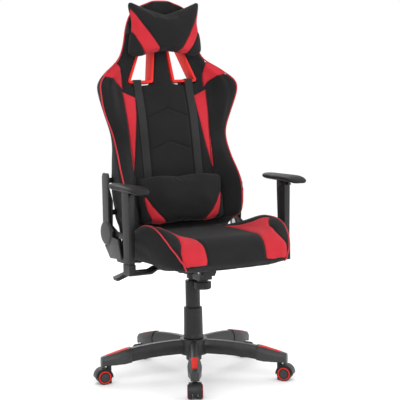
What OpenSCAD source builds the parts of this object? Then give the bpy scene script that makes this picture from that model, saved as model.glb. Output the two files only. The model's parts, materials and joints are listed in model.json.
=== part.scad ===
// Gaming chair on a five-star base: gas lift, tilt mechanism, reclining back, height-adjustable arms.
// Frame: +Z up, origin on the floor under the swivel axis, the seat faces -Y, the sitter's right is -X.

/* [Seat] */
// Height of the seat surface above the floor
seat_height = 505; // [495:1:530]
// Half of the seat's greatest width
seat_half_w = 256; // [240:1:262]
// Distance from the swivel axis to the front of the seat
seat_front = 312; // [280:1:330]
// Height of the seat's side bolsters above the seat surface
seat_bolster = 50; // [30:1:60]
// Thickness of the seat cushion in the middle
seat_thick = 90; // [70:1:100]

/* [Back] */
// Height of the backrest along its own slope
back_length = 800; // [760:1:850]
// Half of the backrest's width at the shoulders
back_half_w = 276; // [255:1:290]
// Lean of the backrest from upright, in degrees
recline = 8; // [5:0.5:12]
// How far the back bolsters stand forward of the middle
back_bolster = 74; // [50:1:80]
// Thickness of the backrest in the middle
back_thick = 58; // [50:1:70]
// Distance of the recline axis behind the swivel axis
pivot_y = 125; // [118:1:132]
// Height of the recline axis above the seat surface
pivot_rise = 1; // [0:1:6]

/* [Arms] */
// Distance of each armrest from the middle of the chair
arm_x = 300; // [296:1:320]
// Distance of the arm posts in front of the swivel axis
arm_front = 120; // [100:1:135]
// Height of the arm pads' top above the floor
arm_top = 692; // [680:1:720]
// Length of an arm pad
pad_length = 250; // [220:1:260]
// Travel of the armrest height adjustment
arm_travel = 70; // [50:1:80]

/* [Base] */
// Distance from the swivel axis to a leg tip
base_r = 332; // [300:1:350]
// Diameter of a caster wheel
wheel_d = 50; // [48:1:56]
// Overall width of a twin-wheel caster
caster_w = 48; // [44:1:54]
// Distance from a caster's stem to its axle
caster_trail = 20; // [16:1:24]
// Diameter of a caster stem
stem_d = 11; // [10:1:12]
// Angle of the first leg from straight ahead, in degrees
leg_turn = -28.6; // [-36:0.1:0]

/* [Gas lift] */
// Diameter of the outer column tube
column_d = 46; // [44:1:48]
// Diameter of the sliding gas cylinder
cylinder_d = 28; // [26:1:30]
// Downward travel of the seat height
lift_down = 60; // [40:1:60]
// Upward travel of the seat height
lift_up = 40; // [30:1:40]
// Outer diameter of the lower plastic sleeve
sleeve_d = 66; // [62:1:70]

/* [Fits] */
// Radial running clearance of a shaft in its hole
running = 0.05; // [0.03:0.01:0.08]
// Clearance between moving covers
free_gap = 1.2; // [0.8:0.1:2]

/* [Hidden] */
$fn = 64;

// Colours
black_fabric = [0.16, 0.16, 0.17];
red_fabric = [0.80, 0.14, 0.17];
black_plastic = [0.13, 0.13, 0.14];
grey_plastic = [0.33, 0.33, 0.34];
steel = [0.55, 0.56, 0.58];
black_steel = [0.10, 0.10, 0.11];

// Smooth curve through [position, value] keys
function key_at(keys, t, i = 0) = (i >= len(keys) - 2 || t < keys[i + 1][0]) ? i : key_at(keys, t, i + 1);
function key_slope(keys, i) =
    let (a = keys[max(i - 1, 0)], b = keys[min(i + 1, len(keys) - 1)])
    (b[1] - a[1]) / (b[0] - a[0]);
function curve(keys, t) =
    let (i = key_at(keys, t), a = keys[i], b = keys[i + 1], h = b[0] - a[0],
         u = min(max((t - a[0]) / h, 0), 1))
    (2 * u * u * u - 3 * u * u + 1) * a[1] + (u * u * u - 2 * u * u + u) * h * key_slope(keys, i)
    + (3 * u * u - 2 * u * u * u) * b[1] + (u * u * u - u * u) * h * key_slope(keys, i + 1);

// A closed ring from its right half, listed from the top middle to the bottom middle
function both_sides(half) =
    concat(half, [for (i = [len(half) - 2:-1:1]) [-half[i][0], half[i][1]]]);

function backwards(ring) = [for (i = [len(ring) - 1:-1:0]) ring[i]];

// A solid skinned over planar rings that all have the same number of points
module loft(rings) {
    n = len(rings[0]);
    last = len(rings) - 1;
    polyhedron(
        points = [for (r = rings) for (p = r) p],
        faces = concat(
            [[for (j = [0:n - 1]) j]],
            [for (i = [0:last - 1]) for (j = [0:n - 1])
                let (k = (j + 1) % n)
                each [[i * n + j, (i + 1) * n + j, (i + 1) * n + k], [i * n + j, (i + 1) * n + k, i * n + k]]],
            [[for (j = [n - 1:-1:0]) last * n + j]]));
}

module both() {
    children();
    mirror([1, 0, 0]) children();
}

module tube(outer, inner, height) {
    difference() {
        cylinder(d = outer, h = height);
        translate([0, 0, -1]) cylinder(d = inner, h = height + 2);
    }
}

module block(low, high) {
    translate(low) cube(high - low);
}

// ---- Base ----
leg_count = 5;
tip_top = 91;
hub_top = 130;
hub_bottom = 76;
hub_r = 47;
cap_from = 228;
stem_r = base_r - 26;
stem_depth = 26;
leg_top = [[0, hub_top], [60, hub_top], [120, 128], [180, 123], [cap_from, 117], [280, 105], [base_r, tip_top]];
leg_low = [[0, 78], [60, 78], [120, 77], [180, 73], [cap_from, 68], [280, 61], [base_r, 59]];
leg_wide = [[0, 20], [60, 19], [150, 18], [cap_from, 21], [270, 24], [300, 21], [base_r, 14]];

module on_leg(k) {
    rotate([0, 0, leg_turn + 360 / leg_count * (k - 1) - 90]) children();
}

// Cross-section of a leg at a distance r from the middle, grown outward by g
function leg_ring(r, g = 0) =
    let (w = curve(leg_wide, r) + g, t = curve(leg_top, r) + g, b = curve(leg_low, r) - g)
    [for (p = backwards(both_sides([[0, t + 0.6], [w * 0.52, t], [w, t - (t - b) * 0.36], [w * 0.94, b], [0, b - 0.6]])))
        [r, p[0], p[1]]];

module leg(from, to, g = 0, steps = 8) {
    loft([for (i = [0:steps]) leg_ring(from + (to - from) * i / steps, g)]);
}

// The structural leg, which a tip cap slips over
module leg_core() {
    leg(30, stem_r + 17, -2.2, 7);
}

module base_star() {
    color(black_plastic) difference() {
        union() {
            translate([0, 0, hub_bottom]) cylinder(r = hub_r, h = hub_top - hub_bottom);
            translate([0, 0, tube_bottom + 4]) cylinder(d = column_d + 8, h = hub_bottom - tube_bottom);
            for (k = [1:leg_count]) on_leg(k) leg_core();
        }
        translate([0, 0, 0]) cylinder(d = column_d, h = hub_top + 1);
        for (k = [1:leg_count]) on_leg(k) translate([stem_r, 0, 0])
            cylinder(d = stem_d + 2 * running, h = stem_top);
    }
}
leg_low_at_stem = curve(leg_low, stem_r) + 2.2;
stem_top = leg_low_at_stem + stem_depth;

module tip_cap() {
    difference() {
        leg(cap_from, base_r, 0, 6);
        leg_core();
        block([cap_from - 1, -60, 0], [base_r - 8, 60, curve(leg_low, 290) + 4]);
        translate([stem_r, 0, 0]) cylinder(d = stem_d + 6, h = leg_low_at_stem + 1);
        insert_body(0.05);
    }
}

// Red inlay let into the top of a leg's cap
module insert_body(g = 0) {
    from = cap_from + 10;
    to = base_r - 20;
    loft([for (i = [0:5])
        let (r = from + (to - from) * i / 5, w = 12 - 3.5 * i / 5 + g, t = curve(leg_top, r))
        [for (p = backwards(both_sides([[0, t + 1.6], [w, t + 0.8], [w, t - 1.2 - g], [0, t - 1.4 - g]])))
            [r, p[0], p[1]]]]);
}

module tip_caps() {
    color(grey_plastic) for (k = [1:leg_count]) on_leg(k) tip_cap();
}

module leg_inserts() {
    color(red_fabric) for (k = [1:leg_count]) on_leg(k) insert_body();
}

// ---- Gas lift ----
tube_bottom = hub_bottom - 24;
tube_top = 230;
tube_wall = 2;
bearing_h = 8;
guide_h = 46;
sleeve_top = 240;
upper_sleeve_d = column_d + 4.6;
upper_sleeve_wall = 1.5;
mech_floor = 346;
rod_d = 10;
cylinder_low = tube_top - guide_h - lift_up;
cylinder_high = mech_floor + 30;
cylinder_wall = 2;
piston_z = cylinder_low + lift_up + 10;

module column_tube() {
    color(black_steel) difference() {
        translate([0, 0, tube_bottom]) cylinder(d = column_d, h = tube_top - tube_bottom);
        translate([0, 0, tube_bottom + 3]) cylinder(d = column_d - 2 * tube_wall, h = tube_top);
        translate([0, 0, tube_bottom - 1]) cylinder(d = rod_d + 2 * running, h = 10);
    }
}

module column_guide() {
    color(grey_plastic) translate([0, 0, tube_top - guide_h])
        tube(column_d - 2 * tube_wall, cylinder_d + 2 * running, guide_h);
}

module lower_sleeve() {
    color(black_plastic) translate([0, 0, hub_top]) difference() {
        rotate_extrude() polygon([
            [upper_sleeve_d / 2 + free_gap, 0], [sleeve_d / 2 + 2, 0], [sleeve_d / 2 + 2, 10], [sleeve_d / 2, 14],
            [sleeve_d / 2 - 1, sleeve_top - hub_top - 2], [sleeve_d / 2 - 3, sleeve_top - hub_top],
            [upper_sleeve_d / 2 + free_gap, sleeve_top - hub_top]]);
    }
}

module piston_rod() {
    color(steel) {
        translate([0, 0, tube_bottom - 4]) cylinder(d = rod_d, h = piston_z - tube_bottom + 5);
        translate([0, 0, piston_z]) cylinder(d = cylinder_d - 2 * cylinder_wall - 2 * running, h = 12);
        translate([0, 0, tube_bottom + 3 + bearing_h]) cylinder(d = rod_d + 8, h = 3);
    }
}

module thrust_bearing() {
    color(steel) translate([0, 0, tube_bottom + 3]) tube(30, rod_d, bearing_h);
}

module gas_cylinder() {
    color(black_steel) difference() {
        translate([0, 0, cylinder_low]) cylinder(d = cylinder_d, h = cylinder_high - cylinder_low);
        translate([0, 0, cylinder_low + 4])
            cylinder(d = cylinder_d - 2 * cylinder_wall, h = cylinder_high - cylinder_low - 16);
        translate([0, 0, cylinder_low - 1]) cylinder(d = rod_d + 2 * running, h = 6);
        translate([0, 0, cylinder_high - 15]) cylinder(d = valve_d + 2 * running, h = 16);
    }
}

module upper_sleeve() {
    top = mech_floor - 12;
    low = sleeve_top - 40;
    color(black_plastic) {
        translate([0, 0, low]) tube(upper_sleeve_d, upper_sleeve_d - 2 * upper_sleeve_wall, top - low);
        translate([0, 0, top - 3]) tube(upper_sleeve_d - 2 * upper_sleeve_wall, cylinder_d, 3);
    }
}

// ---- Tilt mechanism ----
frame_low = seat_height - seat_thick + 1;
plate_t = 4;
mech_half_w = 42;
channel_half_w = 24;
mech_wall = 3;
mech_front = 118;
mech_step = 44;
mech_rear_floor = mech_floor + 16;
mech_rear = 40;
mech_top = mech_floor + 44;
tilt_y = -mech_front + 16;
tilt_z = mech_top - 12;
tilt_pin_d = 12;
spring_y = -72;
spring_d = 34;
knob_d = 58;
knob_h = 30;
bolt_d = 10;
valve_d = 6;
valve_top = cylinder_high + 5;
lever_y = -4;
lever_z = valve_top + 5.1;
lever_rod_d = 9;
lever_pivot_x = -mech_half_w - 8;
lever_out = 238;
paddle_drop = 20;
paddle_length = 64;

module mechanism_housing() {
    color(black_steel) difference() {
        union() {
            block([-channel_half_w, -mech_front, mech_rear_floor], [channel_half_w, -mech_step, mech_top]);
            block([-channel_half_w, spring_y - spring_d / 2 - 6, mech_floor], [channel_half_w, -mech_step, mech_top]);
            block([-mech_half_w, -mech_step - 1, mech_rear_floor], [mech_half_w, mech_rear, mech_top]);
            translate([0, 0, mech_floor - 4]) cylinder(d = cylinder_d + 12, h = cylinder_high - mech_floor - 2);
            block([-mech_half_w - 12, lever_y - 8, mech_rear_floor + 2],
                  [-mech_half_w + 1, lever_y + 8, lever_z - lever_rod_d / 2 - 1]);
        }
        difference() {
            union() {
                block([-channel_half_w + mech_wall, spring_y - spring_d / 2 - 3, mech_floor + mech_wall],
                      [channel_half_w - mech_wall, -mech_step - mech_wall, mech_top + 1]);
                block([-channel_half_w + mech_wall, -mech_front + mech_wall, mech_rear_floor + mech_wall],
                      [channel_half_w - mech_wall, -mech_step - mech_wall, mech_top + 1]);
                block([-mech_half_w + mech_wall, -mech_step - 1 + mech_wall, mech_rear_floor + mech_wall],
                      [mech_half_w - mech_wall, mech_rear - mech_wall, mech_top + 1]);
            }
            translate([0, 0, mech_floor]) cylinder(d = cylinder_d + 12, h = cylinder_high - mech_floor - 6);
        }
        translate([0, 0, mech_floor - 8]) cylinder(d = cylinder_d, h = 60);
        translate([0, spring_y, mech_floor - 1]) cylinder(d = bolt_d + 2 * running, h = 10);
        translate([-channel_half_w - 1, tilt_y, tilt_z]) rotate([0, 90, 0])
            cylinder(d = tilt_pin_d, h = 2 * channel_half_w + 2);
        block([-mech_half_w - 13, lever_y - 7, lever_z - 7], [-mech_half_w + mech_wall + 1, lever_y + 7, mech_top + 1]);
    }
}

module valve_pin() {
    color(steel) translate([0, 0, cylinder_high - 9]) cylinder(d = valve_d, h = valve_top - cylinder_high + 9);
}

module lift_lever() {
    color(black_steel) {
        translate([0, lever_y, lever_z]) rotate([0, -90, 0]) cylinder(d = lever_rod_d, h = lever_out);
        translate([-lever_out, lever_y, lever_z]) rotate([0, -90 - atan(paddle_drop / paddle_length), 0])
            cylinder(d = lever_rod_d, h = paddle_length * 0.75);
    }
}

module lever_paddle() {
    color(black_plastic) translate([-lever_out, lever_y, lever_z])
    rotate([0, -90 - atan(paddle_drop / paddle_length), 0]) difference() {
        hull() {
            translate([0, -6, 6]) rotate([0, 90, 0]) translate([0, 0, -7]) cylinder(d = 10, h = 14, $fn = 24);
            translate([0, 6, 6]) rotate([0, 90, 0]) translate([0, 0, -7]) cylinder(d = 10, h = 14, $fn = 24);
            translate([0, -12, paddle_length - 8]) rotate([0, 90, 0]) translate([0, 0, -6])
                cylinder(d = 14, h = 11, $fn = 24);
            translate([0, 12, paddle_length - 8]) rotate([0, 90, 0]) translate([0, 0, -6])
                cylinder(d = 14, h = 11, $fn = 24);
        }
        translate([0, 0, -20]) cylinder(d = lever_rod_d + 0.02, h = 20 + paddle_length * 0.75 + 0.5);
    }
}

module tension_knob() {
    flutes = 16;
    color(black_plastic) translate([0, spring_y, mech_floor - 2 - knob_h]) difference() {
        union() {
            cylinder(d1 = knob_d - 6, d2 = knob_d, h = 4);
            translate([0, 0, 4]) cylinder(d = knob_d, h = knob_h - 10);
            translate([0, 0, knob_h - 6]) cylinder(d = knob_d * 0.62, h = 6);
        }
        for (i = [0:flutes - 1]) rotate([0, 0, i * 360 / flutes]) translate([knob_d / 2 + 2, 0, -1])
            cylinder(d = 7, h = knob_h);
        translate([0, 0, 6]) cylinder(d = bolt_d, h = knob_h);
    }
}

module tension_bolt() {
    color(steel) translate([0, spring_y, mech_floor + 4 - knob_h]) {
        cylinder(d = bolt_d, h = knob_h + 20);
        translate([0, 0, knob_h + mech_wall - 4 + 0.4]) cylinder(d = spring_d - 2, h = 3);
    }
}

// Coil spring round the tension bolt, between its washer and the seat plate
spring_low = mech_floor + mech_wall + 3.6;
spring_high = frame_low - plate_t - 0.4;
module tension_spring() {
    wire = 4;
    turns = 5;
    per_turn = 20;
    r = spring_d / 2 - wire / 2;
    rise = spring_high - spring_low - wire;
    rings = [for (i = [0:turns * per_turn])
        let (a = 360 * i / per_turn, z = spring_low + wire / 2 + rise * i / (turns * per_turn))
        [for (j = [0:5]) let (b = 60 * j)
            [(r + wire / 2 * cos(b)) * cos(a), spring_y + (r + wire / 2 * cos(b)) * sin(a), z + wire / 2 * sin(b)]]];
    color(steel) loft(rings);
}

module tilt_pin() {
    color(steel) translate([-channel_half_w - 9, tilt_y, tilt_z]) rotate([0, 90, 0])
        cylinder(d = tilt_pin_d, h = 2 * channel_half_w + 18);
}

module seat_plate() {
    flange_x = channel_half_w + 2;
    top = frame_low;
    color(black_steel) difference() {
        union() {
            block([-plate_bolt_x - 12, -rail_cross_y - 12, top - plate_t], [plate_bolt_x + 12, rail_rear, top]);
            both() hull() {
                block([flange_x, tilt_y - 14, top - plate_t - 1], [flange_x + 4, -mech_step - 6, top - plate_t + 1]);
                translate([flange_x, tilt_y, tilt_z]) rotate([0, 90, 0]) cylinder(d = 26, h = 4, $fn = 32);
            }
        }
        translate([-100, tilt_y, tilt_z]) rotate([0, 90, 0]) cylinder(d = tilt_pin_d + 2 * running, h = 200);
        plate_bolt_places() translate([0, 0, -1]) cylinder(d = bolt_hole_d, h = 60);
    }
}

// ---- Seat ----
rail = 20;
rail_wall = 1.6;
rail_half_w = 196;
rail_front = 248;
rail_rear = 46;
rail_cross_y = arm_front + rail / 2;
seat_rear = pivot_y - 37;
bolt_hole_d = 8.4;
plate_bolt_x = mech_half_w + 14;
foot_t = 5;
webbing_t = 2;

module plate_bolt_places() {
    both() {
        translate([plate_bolt_x, -arm_front, frame_low - plate_t - 6]) children();
        translate([plate_bolt_x, rail_rear - rail / 2, frame_low - plate_t - 6]) children();
    }
}

module side_bolt_places() {
    both() {
        translate([rail_half_w - rail / 2, -arm_front, frame_low - foot_t - 6]) children();
        translate([rail_half_w - rail / 2, rail_rear - rail / 2, frame_low - foot_t - 6]) children();
    }
}

module seat_frame() {
    z0 = frame_low;
    z1 = frame_low + rail;
    w = rail_wall;
    inner = rail_half_w - rail;
    color(black_steel) difference() {
        union() {
            both() block([inner, -rail_front, z0], [rail_half_w, rail_rear, z1]);
            for (y = [-rail_front, -rail_cross_y, rail_rear - rail]) block([-inner, y, z0], [inner, y + rail, z1]);
        }
        both() block([inner + w, -rail_front - 1, z0 + w], [rail_half_w - w, rail_rear + 1, z1 - w]);
        for (y = [-rail_front, -rail_cross_y, rail_rear - rail])
            block([-inner - w - 1, y + w, z0 + w], [inner + w + 1, y + rail - w, z1 - w]);
        plate_bolt_places() cylinder(d = bolt_hole_d, h = 20);
        side_bolt_places() cylinder(d = bolt_hole_d, h = 20);
    }
}

module seat_webbing() {
    z = frame_low + rail;
    color(black_fabric) for (i = [0:3])
        block([-rail_half_w + 2, -rail_front + 22 + 62 * i, z], [rail_half_w - 2, -rail_front + 62 + 62 * i, z + webbing_t]);
}

module frame_bolts() {
    color(steel) {
        plate_bolt_places() { cylinder(d = 13, h = 6); cylinder(d = 8, h = 6 + plate_t + 12); }
        side_bolt_places() { cylinder(d = 13, h = 6); cylinder(d = 8, h = 6 + foot_t + 12); }
    }
}

seat_w_keys = [[-seat_front, seat_half_w - 74], [-seat_front + 12, seat_half_w - 48], [-seat_front + 60, seat_half_w - 14],
    [-seat_front + 130, seat_half_w], [-60, seat_half_w - 1], [10, seat_half_w - 8], [seat_rear, seat_half_w - 18]];
seat_top_keys = [[-seat_front, -52], [-seat_front + 6, -26], [-seat_front + 22, -4], [-seat_front + 50, 6],
    [-seat_front + 110, 4], [-60, 0], [seat_rear - 20, 0], [seat_rear - 6, -2], [seat_rear, -8]];
seat_ridge_keys = [[-seat_front, -50], [-seat_front + 12, -22], [-seat_front + 40, 4], [-seat_front + 80, seat_bolster - 18],
    [-seat_front + 130, seat_bolster - 2], [-100, seat_bolster], [-50, seat_bolster - 15], [0, 18], [50, 4], [seat_rear, -8]];
seat_low_keys = [[-seat_front, -74], [-seat_front + 8, -86], [-seat_front + 24, -91], [-200, -88], [-100, -80],
    [40, -80], [seat_rear, -72]];

function seat_ring(y) =
    let (w = curve(seat_w_keys, y), t = seat_height + curve(seat_top_keys, y),
         r = seat_height + curve(seat_ridge_keys, y), b = seat_height + curve(seat_low_keys, y), m = (r + b) / 2)
    [for (p = both_sides([[0, t + 1], [w * 0.42, t], [w * 0.6, t + (r - t) * 0.2], [w * 0.75, t + (r - t) * 0.75],
        [w * 0.86, r], [w * 0.94, r - 5], [w * 0.985, r - (r - m) * 0.35], [w, m], [w * 0.985, b + (m - b) * 0.35],
        [w * 0.92, b], [0, b - 1]])) [p[0], y, p[1]]];

module seat_cushion() {
    rows = 22;
    color(black_fabric) resize([0, 0, 0]) difference() {
        loft([for (i = [0:rows])
            let (u = i / rows, y = -seat_front + (seat_front + seat_rear) * (0.35 * u * u + 0.65 * u))
            seat_ring(y)]);
        block([-rail_half_w - 4, -rail_front - 4, frame_low - 60],
              [rail_half_w + 4, rail_rear + 4, frame_low + rail + webbing_t]);
    }
}

// ---- Recline hinges ----
pivot_z = seat_height + pivot_rise;
plate_x = seat_half_w - 9;
plate_w = 3;
lever_x = plate_x + plate_w + 0.8;
back_plate_x = lever_x + 3.8;
cover_x = back_plate_x + plate_w + 1;
disc_d = 88;
hinge_r = 30;
recline_pin_d = 14;

module x_slab(x, t) {
    translate([x, 0, 0]) rotate([90, 0, 90]) linear_extrude(t) children();
}

module side_plates() {
    foot_front = 14;
    foot_rear = 74;
    color(black_steel) both() difference() {
        union() {
            x_slab(plate_x, plate_w) hull() {
                translate([pivot_y, pivot_z]) circle(r = hinge_r);
                translate([pivot_y - 58, pivot_z - 8]) circle(r = 16);
                translate([foot_front, frame_low - foot_t]) square([foot_rear - foot_front, 20]);
            }
            block([rail_half_w - rail, foot_front, frame_low - foot_t], [plate_x + plate_w, foot_rear, frame_low]);
        }
        translate([0, pivot_y, pivot_z]) rotate([0, 90, 0]) cylinder(d = recline_pin_d, h = 400);
        side_bolt_places() cylinder(d = bolt_hole_d, h = 30);
    }
}

module recline_pins() {
    color(steel) both() translate([plate_x - 3, pivot_y, pivot_z]) rotate([0, 90, 0]) {
        cylinder(d = recline_pin_d, h = cover_x - plate_x + 2);
        cylinder(d = recline_pin_d + 8, h = 3);
    }
}

// Plastic cover over the lower half of the recliner
module hinge_cover() {
    x_slab(cover_x, 8) difference() {
        polygon([[96, frame_low + 6], [12, frame_low + 12], [36, pivot_z - 14], [pivot_y - 30, pivot_z - 8],
            [pivot_y + 40, pivot_z - 16], [pivot_y + 4, pivot_z - 52]]);
        translate([pivot_y, pivot_z]) circle(d = disc_d + 2 * free_gap);
    }
    x_slab(plate_x + plate_w, cover_x - plate_x - plate_w) {
        translate([44, frame_low + 22]) circle(d = 10);
        translate([84, frame_low + 18]) circle(d = 10);
    }
}

module hinge_cover_right() { color(black_plastic) mirror([1, 0, 0]) hinge_cover(); }

// Recline release on the sitter's right
module recline_lever() {
    grip_y = 4;
    grip_x = lever_x + 17;
    color(black_plastic) mirror([1, 0, 0]) {
        difference() {
            x_slab(lever_x, 3) hull() {
                translate([pivot_y, pivot_z]) circle(r = 15);
                translate([grip_y + 4, pivot_z]) circle(r = 7);
            }
            translate([lever_x - 1, pivot_y, pivot_z]) rotate([0, 90, 0])
                cylinder(d = recline_pin_d + 2 * running, h = 6);
        }
        hull() {
            translate([lever_x, grip_y, pivot_z - 6]) cube([3, 8, 12]);
            translate([grip_x, grip_y + 4, pivot_z]) rotate([90, 0, 0]) cylinder(d = 14, h = 6, $fn = 32);
        }
        hull() for (y = [grip_y, grip_y - 74])
            translate([grip_x, y, pivot_z]) rotate([90, 0, 0]) cylinder(d = y < 0 ? 17 : 14, h = 8, $fn = 32);
    }
}

// ---- Back ----
module on_back() {
    translate([0, pivot_y, pivot_z]) rotate([-recline, 0, 0]) children();
}

back_low = -12;
function bw(w) = w * back_length / 800;
back_w_keys = [[back_low, back_half_w - 66], [bw(40), back_half_w - 46], [bw(90), back_half_w - 37], [bw(150), back_half_w - 36],
    [bw(230), back_half_w - 43], [bw(323), back_half_w - 45], [bw(410), back_half_w - 18], [bw(485), back_half_w],
    [bw(515), back_half_w - 6], [bw(555), back_half_w - 44], [bw(598), back_half_w - 100], [bw(645), back_half_w - 124],
    [bw(715), back_half_w - 138], [bw(745), back_half_w - 149], [bw(769), back_half_w - 169], [bw(786), back_half_w - 206],
    [bw(800), back_half_w - 248]];
// Depth of the front face in the middle, forward being negative
back_f_keys = [[back_low, -32], [bw(200), -28], [bw(385), -24], [bw(460), -14], [bw(516), -5], [bw(590), -8],
    [bw(700), -26], [bw(800), -48]];
back_k_keys = [[back_low, back_bolster * 0.04], [bw(6), back_bolster * 0.3], [bw(24), back_bolster * 0.86], [bw(44), back_bolster], [bw(148), back_bolster], [bw(229), back_bolster * 0.57],
    [bw(323), back_bolster * 0.18], [bw(410), back_bolster * 0.45], [bw(490), back_bolster * 0.86],
    [bw(540), back_bolster * 0.6], [bw(600), back_bolster * 0.1], [bw(650), back_bolster * 0.12], [bw(800), back_bolster * 0.08]];
back_t_keys = [[back_low, -14], [bw(60), 0], [bw(300), -1], [bw(440), -6], [bw(516), -13], [bw(600), -16],
    [bw(700), -20], [bw(780), -24], [bw(800), -34]];
// How square the rear edges are, from 0 rounded to 1 boxy
back_q_keys = [[back_low, 0.6], [bw(60), 1], [bw(300), 1], [bw(420), 0], [bw(800), 0]];
function face(w) = curve(back_f_keys, w);
function rear(w) = face(w) + back_thick + curve(back_t_keys, w);

function back_ring(w) =
    let (h = curve(back_w_keys, w), k = curve(back_k_keys, w), f = face(w), r = rear(w), m = (f - k + 24 + r - 14) / 2,
         q = curve(back_q_keys, w))
    [for (p = both_sides([[0, f], [h * 0.5, f - 0.5], [h * 0.68, f - k * 0.14], [h * 0.8, f - k * 0.7], [h * 0.89, f - k],
        [h * 0.97, f - k + 1], [h, f - k + 7], [h * 0.985, f - k + 24], [h * (0.95 + 0.02 * q), m],
        [h * (0.82 + 0.13 * q), r - 13 - 5 * q], [h * (0.5 + 0.35 * q), r - 2], [0, r]])) [p[0], p[1], w]];

// Belt window outline, in the plane of the back, grown by g
win_low = bw(520);
win_high = bw(645);
module window_outline(g = 0) {
    offset(r = g) offset(delta = -8) offset(r = 8)
        polygon([[47, win_low], [126, win_low], [72, win_high], [30, win_high]]);
}
rim_w = 9;

module through_back(from, to) {
    translate([0, to, 0]) rotate([90, 0, 0]) linear_extrude(to - from) children();
}

bar = 18;
upright_x = 150;
frame_f = face(bw(60)) + 18;
frame_top = bw(440);
arm_bar_low = 60;
arm_bar_high = 170;

module back_bars(g = 0) {
    both() block([upright_x - g, frame_f - g, 22 - g], [upright_x + bar + g, frame_f + bar + g, frame_top + g]);
    for (w = [34, frame_top - 40]) block([-upright_x - g, frame_f - g, w - g], [upright_x + g, frame_f + bar + g, w + bar + g]);
    both() for (w = [arm_bar_low, arm_bar_high])
        block([upright_x - g, frame_f - g, w - g], [back_plate_x + 1, frame_f + bar + g, w + bar + g]);
}

module back_frame() {
    color(black_steel) on_back() difference() {
        union() {
            back_bars();
            both() x_slab(back_plate_x, plate_w) hull() {
                circle(r = hinge_r);
                translate([-36, 104]) circle(r = 16);
                translate([frame_f + 8, arm_bar_high + 14]) circle(r = 14);
            }
        }
        both() block([upright_x + 2, frame_f + 2, 21], [upright_x + bar - 2, frame_f + bar - 2, frame_top + 1]);
        translate([-400, 0, 0]) rotate([0, 90, 0]) cylinder(d = recline_pin_d + 2 * running, h = 800);
    }
}

module back_cushion() {
    rows = 44;
    color(black_fabric) on_back() resize([0, 0, 0]) difference() {
        loft([for (i = [0:rows]) back_ring(back_low + (back_length - back_low) * i / rows)]);
        both() through_back(-80, 110) window_outline(rim_w);
        back_bars(1);
    }
}

module window_rims() {
    color(red_fabric) on_back() both() through_back(face(win_low) - 4, rear(win_low) - 1) difference() {
        window_outline(rim_w - 0.2);
        window_outline(0);
    }
}

// Plastic cover over the upper arm of the recliner, with the hinge disc
module back_cover_right() {
    arm_low = 46;
    arm_high = 206;
    color(black_plastic) mirror([1, 0, 0]) on_back() {
        difference() {
            union() {
                translate([cover_x, 0, 0]) rotate([0, 90, 0]) cylinder(d = disc_d, h = 6);
                translate([cover_x + 6, 0, 0]) rotate([0, 90, 0]) cylinder(d1 = disc_d, d2 = disc_d - 14, h = 5);
                x_slab(cover_x, 8) rotate(recline)
                    polygon([[-22, 20], [22, 20], [22, arm_high - 12], [14, arm_high], [-16, arm_high], [-22, arm_high - 8]]);
            }
            translate([cover_x - 1, 0, 0]) rotate([0, 90, 0]) cylinder(d = recline_pin_d + 4, h = 5);
        }
        x_slab(back_plate_x + plate_w, cover_x - back_plate_x - plate_w) {
            translate([-10, 90]) circle(d = 12);
            translate([frame_f + 10, 172]) circle(d = 12);
        }
    }
}

// Small cap over the plain hinge on the sitter's left
module hinge_cap_left() {
    color(black_plastic) on_back() difference() {
        translate([back_plate_x + plate_w, 0, 0]) rotate([0, 90, 0]) cylinder(r = hinge_r - 6, h = 5);
        translate([back_plate_x, 0, 0]) rotate([0, 90, 0]) cylinder(d = recline_pin_d + 4, h = 7);
    }
}

// ---- Pillows and straps ----
strap_t = 2;
strap_gap = 1;
lumbar_half_w = 172;
lumbar_low = 6;
lumbar_high = 188;

module lumbar_pillow() {
    mid = (lumbar_low + lumbar_high) / 2;
    back_d = face(mid) - strap_gap - strap_t - 3;
    color(black_fabric) on_back() hull() {
        both() {
            for (w = [lumbar_low + 26, lumbar_high - 26]) {
                translate([lumbar_half_w - 20, back_d - 34, w]) sphere(r = 16, $fn = 24);
                translate([100, back_d - 22, w]) sphere(r = 20, $fn = 24);
                translate([90, back_d - 40, w]) sphere(r = 24, $fn = 24);
            }
            translate([lumbar_half_w - 16, back_d - 34, mid]) sphere(r = 16, $fn = 24);
            translate([70, back_d - 46, mid]) sphere(r = 34, $fn = 24);
        }
    }
}

// A flat strap that follows the back, at a depth given by its rows of [x, depth, height]
module strap(rows, width) {
    loft([for (p = rows) [for (c = [[-1, 0], [1, 0], [1, 1], [-1, 1]])
        [p[0] + c[0] * width / 2, p[1] + c[1] * strap_t, p[2]]]]);
}

// Two elastic straps: down the front from the belt windows, and down the rear
module lumbar_straps() {
    width = 30;
    steps = 12;
    low = 60;
    x_strap = 102;
    sill = win_low + 0.8;
    front = face(win_low) - strap_gap - strap_t - 3.4;
    color(grey_plastic) on_back() both() {
        strap([for (i = [0:steps]) let (u = i / steps, w = low + (sill + strap_t - low) * u)
            [x_strap, min(face(w) - strap_gap - strap_t, w > win_low - 25 ? front : 0), w]], width);
        strap([for (i = [0:4]) let (w = bw(380) + (sill + strap_t - bw(380)) * i / 4)
            [x_strap, rear(win_low) + 3, w]], width);
        block([x_strap - width / 2, front, sill], [x_strap + width / 2, rear(win_low) + 3 + strap_t, sill + strap_t]);
    }
}

module head_pillow() {
    color(black_fabric) on_back() union() {
        both() hull() {
            translate([136, face(bw(776)) - 22, bw(776)]) sphere(r = 14, $fn = 24);
            translate([132, face(bw(620)) - 30, bw(606)]) sphere(r = 18, $fn = 24);
            translate([0, face(bw(640)) - 28, bw(630)]) sphere(r = 24, $fn = 24);
            translate([0, face(bw(735)) - 30, bw(728)]) sphere(r = 24, $fn = 24);
        }
    }
}

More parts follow.
